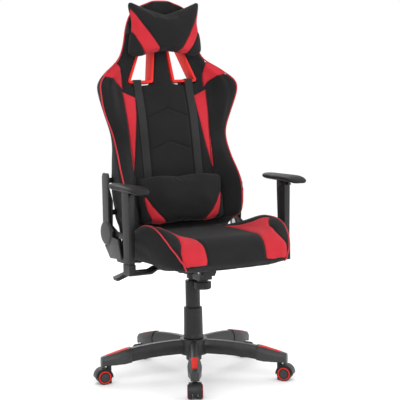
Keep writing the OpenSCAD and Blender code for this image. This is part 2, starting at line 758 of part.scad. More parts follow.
// Elastic band that runs from the head pillow's edges round the back
module head_strap() {
    w0 = bw(680);
    height = 38;
    inner = curve(back_w_keys, w0) + 1.5;
    taper = (curve(back_w_keys, w0 + height) + 1.5) / inner;
    outer = inner + strap_t;
    front = face(w0) - 8;
    back = rear(w0) + 3;
    color(grey_plastic) on_back() translate([0, 0, w0]) linear_extrude(height, scale = [taper, 1])
        difference() {
        polygon([[-outer, front], [outer, front], [outer, back - 20], [outer - 30, back + strap_t],
            [-outer + 30, back + strap_t], [-outer, back - 20]]);
        polygon([[-inner, front - 1], [inner, front - 1], [inner, back - 21], [inner - 29, back],
            [-inner + 29, back], [-inner, back - 21]]);
    }
}

// ---- Arms ----
boot_low = frame_low - 20;
boot_high = boot_low + 36;
post_top = arm_top - 20;
post_t = 22;
post_l = 50;
tongue_t = 10;
tongue_l = 28;
slide_gap = 0.1;

module arm_bracket() {
    difference() {
        union() {
            translate([0, -arm_front + 25, 0]) rotate([90, 0, 0]) linear_extrude(50) polygon([
                [arm_x + 8, boot_low], [arm_x + 8, boot_low + 7], [234, boot_low + 7], [206, frame_low], [154, frame_low],
                [154, frame_low - foot_t], [204, frame_low - foot_t], [230, boot_low]]);
            block([arm_x - 12, -arm_front - 23, boot_low], [arm_x + 12, -arm_front + 23, boot_high]);
            block([arm_x - tongue_t / 2, -arm_front - tongue_l / 2, boot_low + 4],
                  [arm_x + tongue_t / 2, -arm_front + tongue_l / 2, post_top - 50]);
        }
        side_bolt_places() cylinder(d = bolt_hole_d, h = 30);
    }
}

// Upper arm sleeve, wider at its top, that slides on the bracket's tongue
module arm_post() {
    low = boot_high + 0.5;
    difference() {
        hull() {
            block([arm_x - 10, -arm_front - 20, low], [arm_x + 10, -arm_front + 20, low + 1]);
            block([arm_x - post_t / 2, -arm_front - post_l / 2, post_top - 30],
                  [arm_x + post_t / 2, -arm_front + post_l / 2, post_top]);
        }
        block([arm_x - tongue_t / 2 - slide_gap, -arm_front - tongue_l / 2 - slide_gap, low - 1],
              [arm_x + tongue_t / 2 + slide_gap, -arm_front + tongue_l / 2 + slide_gap, post_top - 14]);
        block([arm_x - 6.2, -arm_front - post_l, post_top - 15.2], [arm_x + 6.2, -arm_front - 10, post_top - 6.8]);
    }
}

// Arm pad: broad at the front, narrow at the rear
pad_front_y = -arm_front - pad_length / 2 + 6;
function pad_w(u) = 27 + 17 * (1 - u) - 26 * pow(abs(2 * u - 1), 6);
function pad_ring(u) =
    let (y = pad_front_y + pad_length * u, w = max(pad_w(u), 6), dip = 14 * pow(max(1 - u / 0.3, 0), 2),
         t = arm_top - dip - 8 * pow(abs(2 * u - 1), 8), b = post_top - dip * 0.8 + 6 * pow(abs(2 * u - 1), 8))
    [for (p = both_sides([[0, t], [w * 0.55, t - 1], [w * 0.86, t - 4], [w, (t + b) / 2], [w * 0.9, b + 3], [w * 0.7, b], [0, b]]))
        [arm_x + p[0], y, p[1]]];

module arm_pad() {
    steps = 20;
    loft([for (i = [0:steps]) pad_ring(i / steps)]);
}

// Height trigger under the front of the pad
module arm_trigger() {
    block([arm_x - 6, -arm_front - post_l / 2 - 14, post_top - 15], [arm_x + 6, -arm_front - 16, post_top - 10.2]);
    block([arm_x - 6, -arm_front - post_l / 2 - 14, post_top - 15], [arm_x + 6, -arm_front - post_l / 2 - 9, post_top - 8]);
}

module arm_bracket_right() { color(black_steel) mirror([1, 0, 0]) arm_bracket(); }
module arm_bracket_left() { color(black_steel) arm_bracket(); }
module arm_post_right() { color(black_plastic) mirror([1, 0, 0]) arm_post(); }
module arm_post_left() { color(black_plastic) arm_post(); }
module arm_pad_right() { color(black_plastic) mirror([1, 0, 0]) arm_pad(); }
module arm_pad_left() { color(black_plastic) arm_pad(); }
module arm_trigger_right() { color(grey_plastic) mirror([1, 0, 0]) arm_trigger(); }
module arm_trigger_left() { color(grey_plastic) arm_trigger(); }

// ---- Casters ----
wheel_r = wheel_d / 2;
wheel_w = 15;
axle_d = 6;
body_w = caster_w - 2 * wheel_w - 2;
hood_r = wheel_r + 5;
hood_top = leg_low_at_stem - 2;

module at_caster(k) {
    on_leg(k) translate([stem_r, 0, 0]) children();
}

module y_disc(d, h) {
    rotate([90, 0, 0]) cylinder(d = d, h = h, center = true);
}

module caster_hood(k) {
    color(black_plastic) at_caster(k) difference() {
        union() {
            translate([caster_trail, 0, wheel_r]) y_disc(2 * wheel_r - 8, body_w);
            translate([caster_trail, 0, wheel_r]) difference() {
                y_disc(2 * hood_r, caster_w - 6);
                y_disc(2 * wheel_r + 3, caster_w);
                translate([-60, -60, -60]) cube([120, 120, 58]);
            }
            translate([caster_trail, 0, wheel_r]) difference() {
                y_disc(2 * hood_r, body_w);
                translate([-60, -60, -60]) cube([120, 120, 62]);
            }
            cylinder(d = body_w + 1, h = hood_top);
            translate([0, -body_w / 2, 22]) cube([caster_trail, body_w, 30]);
        }
        cylinder(d = stem_d, h = 80);
        translate([caster_trail, 0, wheel_r]) y_disc(axle_d + 2 * running, caster_w);
    }
}

module caster_stem(k) {
    color(steel) at_caster(k) translate([0, 0, 40]) cylinder(d = stem_d, h = stem_top - 41);
}

module caster_wheels(k) {
    color(black_plastic) at_caster(k) translate([caster_trail, 0, wheel_r]) {
        for (s = [-1, 1]) translate([0, s * (caster_w / 2 - wheel_w / 2), 0]) difference() {
            union() {
                y_disc(wheel_d, wheel_w - 3);
                y_disc(wheel_d - 4, wheel_w);
            }
            translate([0, s * wheel_w / 2, 0]) y_disc(wheel_d - 12, 4);
        }
        y_disc(axle_d, caster_w - 8);
    }
}

base_star();
tip_caps();
leg_inserts();
column_tube();
column_guide();
lower_sleeve();
piston_rod();
thrust_bearing();
gas_cylinder();
upper_sleeve();
mechanism_housing();
valve_pin();
lift_lever();
lever_paddle();
tension_knob();
tension_bolt();
tension_spring();
tilt_pin();
seat_plate();
seat_frame();
seat_webbing();
seat_cushion();
frame_bolts();
side_plates();
hinge_cover_right();
hinge_cap_left();
recline_pins();
recline_lever();
back_frame();
back_cushion();
window_rims();
back_cover_right();
lumbar_pillow();
lumbar_straps();
head_pillow();
head_strap();
arm_bracket_right();
arm_bracket_left();
arm_post_right();
arm_post_left();
arm_pad_right();
arm_pad_left();
arm_trigger_right();
arm_trigger_left();
for (k = [1:5]) {
    caster_hood(k);
    caster_stem(k);
    caster_wheels(k);
}
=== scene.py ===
"""Gaming chair on a five-star base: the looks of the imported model, in metres, in its own frame."""

from __future__ import annotations

import json
import logging
import math
from dataclasses import dataclass
from enum import Enum
from typing import Callable, Sequence

import bmesh
import bpy
import numpy as np
from mathutils import Matrix, Vector
from mathutils.bvhtree import BVHTree

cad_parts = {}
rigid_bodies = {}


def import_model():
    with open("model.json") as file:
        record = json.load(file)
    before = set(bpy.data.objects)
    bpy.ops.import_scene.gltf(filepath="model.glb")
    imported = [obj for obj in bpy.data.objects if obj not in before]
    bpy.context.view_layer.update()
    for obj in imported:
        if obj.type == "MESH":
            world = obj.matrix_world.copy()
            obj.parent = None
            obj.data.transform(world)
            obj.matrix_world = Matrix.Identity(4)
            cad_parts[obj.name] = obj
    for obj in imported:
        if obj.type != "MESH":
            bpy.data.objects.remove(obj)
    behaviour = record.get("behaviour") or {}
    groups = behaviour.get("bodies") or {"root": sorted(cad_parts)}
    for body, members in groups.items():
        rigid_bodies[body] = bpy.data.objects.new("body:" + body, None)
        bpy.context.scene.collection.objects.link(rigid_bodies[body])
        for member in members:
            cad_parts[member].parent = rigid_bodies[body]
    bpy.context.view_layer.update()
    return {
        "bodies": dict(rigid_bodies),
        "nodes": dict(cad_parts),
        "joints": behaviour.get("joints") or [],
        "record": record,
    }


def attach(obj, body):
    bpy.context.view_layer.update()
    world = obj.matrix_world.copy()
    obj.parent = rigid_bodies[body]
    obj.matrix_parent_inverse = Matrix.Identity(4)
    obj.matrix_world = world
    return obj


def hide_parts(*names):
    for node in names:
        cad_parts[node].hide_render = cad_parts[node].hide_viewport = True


LOG = logging.getLogger("chair")
MM = 0.001
Point = tuple[float, float]
Outline = Sequence[Point]


class Side(Enum):
    """A side of the chair, as the sitter sees it, with the sign of its X."""

    RIGHT = -1
    LEFT = 1


# ---------------------------------------------------------------- shader groups


class Groups:
    """The shader node groups that several finishes share, each built once."""

    def __init__(self) -> None:
        self.weave = self._weave()
        self.grain = self._grain()
        self.wear = self._wear()

    @staticmethod
    def _new(name: str, ins: Sequence[tuple[str, str, float]], outs: Sequence[tuple[str, str]]):
        """Starts a group with named sockets.

        Args:
            name: the group's name.
            ins: name, socket type and default of each input.
            outs: name and socket type of each output.
        Returns:
            the group, its input node and its output node.
        """
        tree = bpy.data.node_groups.new(name, "ShaderNodeTree")
        for label, kind, value in ins:
            tree.interface.new_socket(label, in_out="INPUT", socket_type=kind).default_value = value
        for label, kind in outs:
            tree.interface.new_socket(label, in_out="OUTPUT", socket_type=kind)
        return tree, tree.nodes.new("NodeGroupInput"), tree.nodes.new("NodeGroupOutput")

    def _weave(self) -> bpy.types.NodeTree:
        """A close mesh cloth: crossing threads, with a slow change of tone. Returns the group."""
        tree, start, end = self._new(
            "mesh_weave",
            [("Threads", "NodeSocketFloat", 520.0)],
            [("Height", "NodeSocketFloat"), ("Tone", "NodeSocketFloat")],
        )
        coord = tree.nodes.new("ShaderNodeTexCoord")
        heights = []
        for turn in (0.7854, -0.7854):
            mapping = tree.nodes.new("ShaderNodeMapping")
            mapping.inputs["Rotation"].default_value = (0.3, turn, turn * 0.5)
            wave = tree.nodes.new("ShaderNodeTexWave")
            wave.inputs["Distortion"].default_value = 0.4
            tree.links.new(coord.outputs["Object"], mapping.inputs["Vector"])
            tree.links.new(mapping.outputs["Vector"], wave.inputs["Vector"])
            tree.links.new(start.outputs["Threads"], wave.inputs["Scale"])
            heights.append(wave.outputs["Fac"])
        cross = tree.nodes.new("ShaderNodeMath")
        cross.operation = "MAXIMUM"
        tree.links.new(heights[0], cross.inputs[0])
        tree.links.new(heights[1], cross.inputs[1])
        tone = tree.nodes.new("ShaderNodeTexNoise")
        tone.inputs["Scale"].default_value = 9.0
        tone.inputs["Detail"].default_value = 5.0
        tree.links.new(coord.outputs["Object"], tone.inputs["Vector"])
        tree.links.new(cross.outputs[0], end.inputs["Height"])
        tree.links.new(tone.outputs["Fac"], end.inputs["Tone"])
        return tree

    def _grain(self) -> bpy.types.NodeTree:
        """The fine spark-eroded texture of a moulding. Returns the group."""
        tree, start, end = self._new(
            "moulded_grain",
            [("Scale", "NodeSocketFloat", 900.0)],
            [("Height", "NodeSocketFloat"), ("Tone", "NodeSocketFloat")],
        )
        coord = tree.nodes.new("ShaderNodeTexCoord")
        fine = tree.nodes.new("ShaderNodeTexVoronoi")
        slow = tree.nodes.new("ShaderNodeTexNoise")
        slow.inputs["Scale"].default_value = 14.0
        slow.inputs["Detail"].default_value = 6.0
        tree.links.new(coord.outputs["Object"], fine.inputs["Vector"])
        tree.links.new(coord.outputs["Object"], slow.inputs["Vector"])
        tree.links.new(start.outputs["Scale"], fine.inputs["Scale"])
        tree.links.new(fine.outputs["Distance"], end.inputs["Height"])
        tree.links.new(slow.outputs["Fac"], end.inputs["Tone"])
        return tree

    def _wear(self) -> bpy.types.NodeTree:
        """Scuffs: short scratches that gather in patches. Returns the group."""
        tree, start, end = self._new(
            "scuffs", [("Amount", "NodeSocketFloat", 0.3)], [("Mask", "NodeSocketFloat")]
        )
        coord = tree.nodes.new("ShaderNodeTexCoord")
        stretch = tree.nodes.new("ShaderNodeMapping")
        stretch.inputs["Scale"].default_value = (60.0, 420.0, 160.0)
        lines = tree.nodes.new("ShaderNodeTexNoise")
        lines.inputs["Scale"].default_value = 1.0
        patch = tree.nodes.new("ShaderNodeTexNoise")
        patch.inputs["Scale"].default_value = 22.0
        both = tree.nodes.new("ShaderNodeMath")
        both.operation = "MULTIPLY"
        gate = tree.nodes.new("ShaderNodeMapRange")
        gate.inputs["From Min"].default_value = 0.30
        gate.inputs["From Max"].default_value = 0.46
        scaled = tree.nodes.new("ShaderNodeMath")
        scaled.operation = "MULTIPLY"
        tree.links.new(coord.outputs["Object"], stretch.inputs["Vector"])
        tree.links.new(stretch.outputs["Vector"], lines.inputs["Vector"])
        tree.links.new(coord.outputs["Object"], patch.inputs["Vector"])
        tree.links.new(lines.outputs["Fac"], both.inputs[0])
        tree.links.new(patch.outputs["Fac"], both.inputs[1])
        tree.links.new(both.outputs[0], gate.inputs["Value"])
        tree.links.new(gate.outputs["Result"], scaled.inputs[0])
        tree.links.new(start.outputs["Amount"], scaled.inputs[1])
        tree.links.new(scaled.outputs[0], end.inputs["Mask"])
        return tree


# ---------------------------------------------------------------- finishes

Colour = tuple[float, float, float]


def _shell(name: str) -> tuple[bpy.types.Material, bpy.types.Node]:
    """Starts a node material. Returns it and its Principled BSDF."""
    material = bpy.data.materials.new(name)
    material.use_nodes = True
    return material, material.node_tree.nodes["Principled BSDF"]


def _group(tree: bpy.types.NodeTree, group: bpy.types.NodeTree, **values: float) -> bpy.types.Node:
    """Places a shared group in a material, with its own values. Returns the node."""
    node = tree.nodes.new("ShaderNodeGroup")
    node.node_tree = group
    for key, value in values.items():
        node.inputs[key].default_value = value
    return node


def _mix(tree: bpy.types.NodeTree, fac, low: Colour | bpy.types.NodeSocket, high: Colour):
    """Mixes two colours by a socket. Returns the result's socket."""
    node = tree.nodes.new("ShaderNodeMix")
    node.data_type = "RGBA"
    tree.links.new(fac, node.inputs[0])
    if isinstance(low, tuple):
        node.inputs[6].default_value = (*low, 1.0)
    else:
        tree.links.new(low, node.inputs[6])
    node.inputs[7].default_value = (*high, 1.0)
    return node.outputs[2]


def _range(tree: bpy.types.NodeTree, value, start: float, stop: float, low: float, high: float):
    """Maps a socket from one range to another, clamped. Returns the result's socket."""
    node = tree.nodes.new("ShaderNodeMapRange")
    for key, number in (("From Min", start), ("From Max", stop), ("To Min", low), ("To Max", high)):
        node.inputs[key].default_value = number
    tree.links.new(value, node.inputs["Value"])
    return node.outputs["Result"]


def _bump(tree: bpy.types.NodeTree, height, depth: float, shader: bpy.types.Node) -> None:
    """Feeds a height to a shader's normal, depth being in metres."""
    node = tree.nodes.new("ShaderNodeBump")
    node.inputs["Strength"].default_value = 0.5
    node.inputs["Distance"].default_value = depth
    tree.links.new(height, node.inputs["Height"])
    tree.links.new(node.outputs["Normal"], shader.inputs["Normal"])


@dataclass(frozen=True)
class Cloth:
    """Woven upholstery cloth in two colours, cut where the piece's own panel field changes sign; panelled
    cloth also gets painted shade along its pressed seams.
    """

    name: str
    ground: Colour = (0.0085, 0.0085, 0.0092)
    ground_high: Colour = (0.0125, 0.0125, 0.0132)
    accent: Colour = (0.450, 0.018, 0.028)
    accent_high: Colour = (0.540, 0.026, 0.040)
    threads: float = 520.0
    panelled: bool = True

    def build(self, groups: Groups) -> bpy.types.Material:
        """Builds the material.

        Args:
            groups: the shared shader groups.
        Returns:
            the material.
        """
        material, shader = _shell(self.name)
        tree = material.node_tree
        weave = _group(tree, groups.weave, Threads=self.threads)
        tone = _range(tree, weave.outputs["Tone"], 0.3, 0.7, 0.0, 1.0)
        ground = _mix(tree, tone, self.ground, self.ground_high)
        colour = ground
        if self.panelled:
            field_node = tree.nodes.new("ShaderNodeAttribute")
            field_node.attribute_name = "accent"
            seam_node = tree.nodes.new("ShaderNodeAttribute")
            seam_node.attribute_name = "seam"
            cut = _range(tree, field_node.outputs["Fac"], -0.0006, 0.0006, 0.0, 1.0)
            red = _mix(tree, tone, self.accent, self.accent_high)
            blend = tree.nodes.new("ShaderNodeMix")
            blend.data_type = "RGBA"
            tree.links.new(cut, blend.inputs[0])
            tree.links.new(ground, blend.inputs[6])
            tree.links.new(red, blend.inputs[7])
            # Painted shade: within 3 mm of a seam the colour darkens towards near black, standing in for
            # the shade in the pressed seam groove.
            groove = _range(tree, seam_node.outputs["Fac"], 0.0004, 0.0030, 0.75, 0.0)
            colour = _mix(tree, groove, blend.outputs[2], (0.006, 0.004, 0.004))
        tree.links.new(colour, shader.inputs["Base Color"])
        rough = _range(tree, weave.outputs["Height"], 0.0, 1.0, 0.93, 0.80)
        tree.links.new(rough, shader.inputs["Roughness"])
        shader.inputs["Sheen Weight"].default_value = 0.05
        shader.inputs["Sheen Roughness"].default_value = 0.5
        shader.inputs["Specular IOR Level"].default_value = 0.14
        _bump(tree, weave.outputs["Height"], 0.0005, shader)
        return material


@dataclass(frozen=True)
class Moulding:
    """Moulded plastic or rubber: a fine grain, uneven tone and scuffs."""

    name: str
    colour: Colour
    light: Colour
    rough: float = 0.42
    specular: float = 0.5
    coat: float = 0.0
    grain: float = 900.0
    depth: float = 0.00022
    scuffs: float = 0.30

    def build(self, groups: Groups) -> bpy.types.Material:
        """Builds the material.

        Args:
            groups: the shared shader groups.
        Returns:
            the material.
        """
        material, shader = _shell(self.name)
        tree = material.node_tree
        grain = _group(tree, groups.grain, Scale=self.grain)
        wear = _group(tree, groups.wear, Amount=self.scuffs)
        tone = _range(tree, grain.outputs["Tone"], 0.35, 0.65, 0.0, 1.0)
        base = _mix(tree, tone, self.colour, self.light)
        worn = tuple(min(1.0, c * 1.7 + 0.010) for c in self.light)
        tree.links.new(_mix(tree, wear.outputs["Mask"], base, worn), shader.inputs["Base Color"])
        rough = _range(tree, grain.outputs["Tone"], 0.3, 0.7, self.rough - 0.06, self.rough + 0.08)
        tree.links.new(rough, shader.inputs["Roughness"])
        shader.inputs["Specular IOR Level"].default_value = self.specular
        shader.inputs["Coat Weight"].default_value = self.coat
        shader.inputs["Coat Roughness"].default_value = 0.25
        _bump(tree, grain.outputs["Height"], self.depth, shader)
        return material


@dataclass(frozen=True)
class Metal:
    """Zinc-plated steel, with a brushed height and a little dulling."""

    name: str = "zinc_steel"
    colour: Colour = (0.50, 0.51, 0.53)
    rough: float = 0.34

    def build(self, groups: Groups) -> bpy.types.Material:
        """Builds the material.

        Args:
            groups: the shared shader groups.
        Returns:
            the material.
        """
        material, shader = _shell(self.name)
        tree = material.node_tree
        grain = _group(tree, groups.grain, Scale=1500.0)
        wear = _group(tree, groups.wear, Amount=0.4)
        dull = tuple(c * 0.72 for c in self.colour)
        tree.links.new(_mix(tree, wear.outputs["Mask"], self.colour, dull), shader.inputs["Base Color"])
        rough = _range(tree, grain.outputs["Tone"], 0.3, 0.7, self.rough - 0.08, self.rough + 0.1)
        tree.links.new(rough, shader.inputs["Roughness"])
        shader.inputs["Metallic"].default_value = 1.0
        _bump(tree, grain.outputs["Height"], 0.0001, shader)
        return material


class Palette:
    """Every finish on the chair, built once, by name."""

    def __init__(self) -> None:
        groups = Groups()
        finishes = (
            Cloth("upholstery_cloth"),
            Cloth("pillow_cloth", threads=600.0),
            Cloth("elastic_webbing", ground=(0.020, 0.020, 0.021), ground_high=(0.028, 0.028, 0.029),
                  threads=330.0, panelled=False),
            Cloth("red_piping", ground=(0.44, 0.024, 0.034), ground_high=(0.54, 0.044, 0.056),
                  threads=800.0, panelled=False),
            Moulding("black_nylon", (0.0070, 0.0070, 0.0073), (0.0110, 0.0110, 0.0113), specular=0.35),
            Moulding("satin_nylon", (0.0110, 0.0110, 0.0113), (0.0180, 0.0180, 0.0183), rough=0.36,
                     specular=0.42),
            Moulding("grey_nylon", (0.020, 0.021, 0.021), (0.031, 0.032, 0.032), rough=0.4, specular=0.4),
            Moulding("red_moulding", (0.58, 0.014, 0.010), (0.68, 0.022, 0.016), rough=0.55, specular=0.22,
                     depth=0.0001, scuffs=0.10),
            Moulding("pad_skin", (0.0065, 0.0065, 0.0068), (0.0100, 0.0100, 0.0103), rough=0.55,
                     specular=0.24,
                     grain=420.0, depth=0.0004, scuffs=0.15),
            Moulding("tread_rubber", (0.0065, 0.0065, 0.0068), (0.0095, 0.0095, 0.0098), rough=0.45,
                     specular=0.35),
            Moulding("powder_coat", (0.0065, 0.0065, 0.0068), (0.0100, 0.0100, 0.0103), rough=0.4,
                     specular=0.35,
                     grain=1500.0, depth=0.00012, scuffs=0.45),
            Metal(),
        )
        self._made = {finish.name: finish.build(groups) for finish in finishes}

    def coat(self, piece: bpy.types.Object, name: str) -> None:
        """Gives a piece one finish, in every material slot that it has."""
        material = self._made[name]
        if not piece.data.materials:
            piece.data.materials.append(material)
        for index in range(len(piece.material_slots)):
            piece.material_slots[index].material = material


# ---------------------------------------------------------------- mesh helpers


def deselect() -> None:
    if bpy.context.object is not None and bpy.context.object.mode != "OBJECT":
        bpy.ops.object.mode_set(mode="OBJECT")
    bpy.ops.object.select_all(action="DESELECT")


def activate(piece: bpy.types.Object) -> None:
    """Makes a piece the only one selected, and the active one."""
    deselect()
    piece.select_set(True)
    bpy.context.view_layer.objects.active = piece


def apply_modifiers(piece: bpy.types.Object) -> None:
    """Applies every modifier of a piece, in order."""
    activate(piece)
    for modifier in list(piece.modifiers):
        bpy.ops.object.modifier_apply(modifier=modifier.name)


def coordinates(piece: bpy.types.Object) -> np.ndarray:
    """Returns a mesh's vertices as an array of rows."""
    flat = np.empty(len(piece.data.vertices) * 3)
    piece.data.vertices.foreach_get("co", flat)
    return flat.reshape(-1, 3)


def place(piece: bpy.types.Object, points: np.ndarray) -> None:
    """Writes a mesh's vertices back."""
    piece.data.vertices.foreach_set("co", np.ascontiguousarray(points).ravel())
    piece.data.update()


def normals(piece: bpy.types.Object) -> np.ndarray:
    """Returns a mesh's vertex normals as an array of rows."""
    flat = np.empty(len(piece.data.vertices) * 3)
    piece.data.vertex_normals.foreach_get("vector", flat)
    return flat.reshape(-1, 3)


def node_copy(node: bpy.types.Object, name: str) -> bpy.types.Object:
    """Copies a CAD node's mesh into a new piece, with its loose triangles merged.

    Args:
        node: the CAD node.
        name: the new piece's name.
    Returns:
        the piece, in the scene at the origin.
    """
    mesh = node.data.copy()
    mesh.materials.clear()
    piece = bpy.data.objects.new(name, mesh)
    bpy.context.scene.collection.objects.link(piece)
    body = bmesh.new()
    body.from_mesh(mesh)
    bmesh.ops.remove_doubles(body, verts=body.verts, dist=1e-5)
    bmesh.ops.dissolve_degenerate(body, edges=body.edges, dist=1e-6)
    body.to_mesh(mesh)
    body.free()
    return piece


def smooth(piece: bpy.types.Object, degrees: float = 35.0) -> None:
    """Shades a piece smooth, apart from edges sharper than an angle."""
    activate(piece)
    bpy.ops.object.shade_smooth_by_angle(angle=math.radians(degrees))


def finish_piece(piece: bpy.types.Object, body: str, slot: str, *replaced: str) -> None:
    """Rides a finished piece on its body and hides the CAD nodes that it stands for."""
    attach(piece, body)
    if replaced:
        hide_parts(*replaced)
    LOG.info("%s rides on %s", piece.name, body)


# ---------------------------------------------------------------- sewing


def signed_distance(points: np.ndarray, outline: Outline) -> np.ndarray:
    """Measures how far points lie inside a closed outline.

    Args:
        points: rows of two coordinates.
        outline: the outline's corners, in order.
    Returns:
        the distance to the outline, positive inside it.
    """
    corners = np.array(outline, float)
    nearest = np.full(len(points), np.inf)
    inside = np.zeros(len(points), bool)
    for a, b in zip(corners, np.roll(corners, -1, axis=0)):
        edge = b - a
        t = np.clip(((points - a) @ edge) / max(float(edge @ edge), 1e-12), 0, 1)
        nearest = np.minimum(nearest, np.linalg.norm(points - a - t[:, None] * edge, axis=1))
        crosses = (a[1] > points[:, 1]) != (b[1] > points[:, 1])
        with np.errstate(divide="ignore", invalid="ignore"):
            at = a[0] + (points[:, 1] - a[1]) * edge[0] / edge[1]
        inside ^= crosses & (points[:, 0] < at)
    return np.where(inside, nearest, -nearest)


def line_distance(points: np.ndarray, line: Sequence[Sequence[float]]) -> np.ndarray:
    """Returns the distance of each point to an open line, in two or three dimensions."""
    corners = np.array(line, float)
    nearest = np.full(len(points), np.inf)
    for a, b in zip(corners[:-1], corners[1:]):
        edge = b - a
        t = np.clip(((points - a) @ edge) / max(float(edge @ edge), 1e-12), 0, 1)
        nearest = np.minimum(nearest, np.linalg.norm(points - a - t[:, None] * edge, axis=1))
    return nearest


def rounded(points: Sequence[Sequence[float]], step: int = 8) -> np.ndarray:
    """Draws a smooth curve through points.

    Args:
        points: the points, in order.
        step: how many points each span gets.
    Returns:
        the curve's points.
    """
    p = np.array(points, float)
    p = np.vstack([2 * p[0] - p[1], p, 2 * p[-1] - p[-2]])
    out = []
    for i in range(1, len(p) - 2):
        for t in np.linspace(0, 1, step, endpoint=False):
            out.append(0.5 * (2 * p[i] + (p[i + 1] - p[i - 1]) * t
                              + (2 * p[i - 1] - 5 * p[i] + 4 * p[i + 1] - p[i + 2]) * t * t
                              + (3 * p[i] - p[i - 1] - 3 * p[i + 1] + p[i + 2]) * t ** 3))
    out.append(p[-2])
    return np.array(out)


def write_field(piece: bpy.types.Object, name: str, values: np.ndarray) -> None:
    """Stores one number for each vertex, which the piece's cloth reads."""
    layer = piece.data.attributes.get(name) or piece.data.attributes.new(name, "FLOAT", "POINT")
    layer.data.foreach_set("value", values.astype(np.float32))


def tube(name: str, points: np.ndarray, radius: float, closed: bool = False) -> bpy.types.Object:
    """Makes a round tube along points, as a mesh.

    Args:
        name: the piece's name.
        points: the points, in metres.
        radius: the tube's radius.
        closed: whether its end joins its start.
    Returns:
        the tube.
    """
    curve = bpy.data.curves.new(name, "CURVE")
    curve.dimensions = "3D"
    curve.bevel_depth = radius
    curve.bevel_resolution = 3
    curve.use_fill_caps = not closed
    spline = curve.splines.new("POLY")
    spline.points.add(len(points) - 1)
    for target, point in zip(spline.points, points):
        target.co = (*point, 1.0)
    spline.use_cyclic_u = closed
    piece = bpy.data.objects.new(name, curve)
    bpy.context.scene.collection.objects.link(piece)
    activate(piece)
    bpy.ops.object.convert(target="MESH")
    smooth(bpy.context.object, 60)
    return bpy.context.object


def piping(name: str, cushion: bpy.types.Object, line: np.ndarray,
           radius: float = 0.0026) -> bpy.types.Object:
    """Lays a cord of piping along a cushion.

    Args:
        name: the piece's name.
        cushion: the finished cushion.
        line: the cord's route near the cushion's skin.
        radius: the cord's radius.
    Returns:
        the piping.
    """
    body = bmesh.new()
    body.from_mesh(cushion.data)
    tree = BVHTree.FromBMesh(body)
    body.free()
    laid = []
    for point in line:
        found, normal, _, _ = tree.find_nearest(Vector(point))
        laid.append(np.array(found + normal * radius * 0.55))
    route = np.array(laid)
    for _ in range(3):
        route[1:-1] = 0.25 * route[:-2] + 0.5 * route[1:-1] + 0.25 * route[2:]
    return tube(name, route, radius)


@dataclass
class Padding:
    """How a cushion's filling swells its cover."""

    voxel: float = 0.006
    tuck: float = 0.003
    pressure: float = 4.0
    cap: float = 0.006
    relax: int = 2
    frames: int = 20

    def fill(self, node: bpy.types.Object, name: str,
             shape: Callable[[np.ndarray], np.ndarray] | None = None) -> bpy.types.Object:
        """Makes a stuffed cushion from a CAD solid.

        Args:
            node: the plain CAD cushion.
            name: the new piece's name.
            shape: a change to the points before the cover is filled.
        Returns:
            the cushion, with no modifier left on it.
        """
        piece = node_copy(node, name)
        remesh = piece.modifiers.new("even_mesh", "REMESH")
        remesh.mode = "VOXEL"
        remesh.voxel_size = self.voxel
        apply_modifiers(piece)
        points = coordinates(piece)
        if shape is not None:
            points = shape(points)
            place(piece, points)
        relax = piece.modifiers.new("relax", "SMOOTH")
        relax.factor = 0.5
        relax.iterations = 6 * self.relax
        apply_modifiers(piece)
        place(piece, coordinates(piece) - normals(piece) * self.tuck)
        self._swell(piece)
        finer = piece.modifiers.new("finer", "SUBSURF")
        finer.levels = finer.render_levels = 1
        apply_modifiers(piece)
        piece.data.shade_smooth()
        return piece

    def _swell(self, piece: bpy.types.Object) -> None:
        """Runs the cloth under pressure, caps how far it moves, and keeps the result."""
        before = coordinates(piece)
        cloth = piece.modifiers.new("cover", "CLOTH")
        settings = cloth.settings
        settings.use_pressure = True
        settings.uniform_pressure_force = self.pressure
        settings.quality = 4
        settings.mass = 0.3
        settings.tension_stiffness = settings.compression_stiffness = 18.0
        settings.shear_stiffness = 12.0
        settings.bending_stiffness = 1.5
        settings.effector_weights.gravity = 0.0
        cloth.collision_settings.use_self_collision = False
        cloth.point_cache.frame_start, cloth.point_cache.frame_end = 1, self.frames
        scene = bpy.context.scene
        for frame in range(1, self.frames + 1):
            scene.frame_set(frame)
        deps = bpy.context.evaluated_depsgraph_get()
        shown = piece.evaluated_get(deps)
        flat = np.empty(len(shown.data.vertices) * 3)
        shown.data.vertices.foreach_get("co", flat)
        moved = flat.reshape(-1, 3) - before
        length = np.linalg.norm(moved, axis=1, keepdims=True)
        moved *= np.minimum(1.0, self.cap / np.maximum(length, 1e-9))
        piece.modifiers.clear()
        place(piece, before + moved)
        scene.frame_set(1)
        soften = piece.modifiers.new("soften", "SMOOTH")
        soften.factor, soften.iterations = 0.5, 2
        apply_modifiers(piece)


def press_seams(piece: bpy.types.Object, seam: np.ndarray, depth: float, width: float,
                crown: float = 0.0015) -> None:
    """Pulls a cover in along its seams and lets it crown between them.

    Args:
        piece: the cushion.
        seam: each vertex's distance to the nearest seam.
        depth: how deep a seam sits.
        width: how wide its groove is.
        crown: how far the cover rises away from the seams.
    """
    fall = depth * np.exp(-(seam / width) ** 2)
    rise = crown * (1 - np.exp(-seam / 0.020))
    place(piece, coordinates(piece) + normals(piece) * (rise - fall)[:, None])


# ---------------------------------------------------------------- seat and back


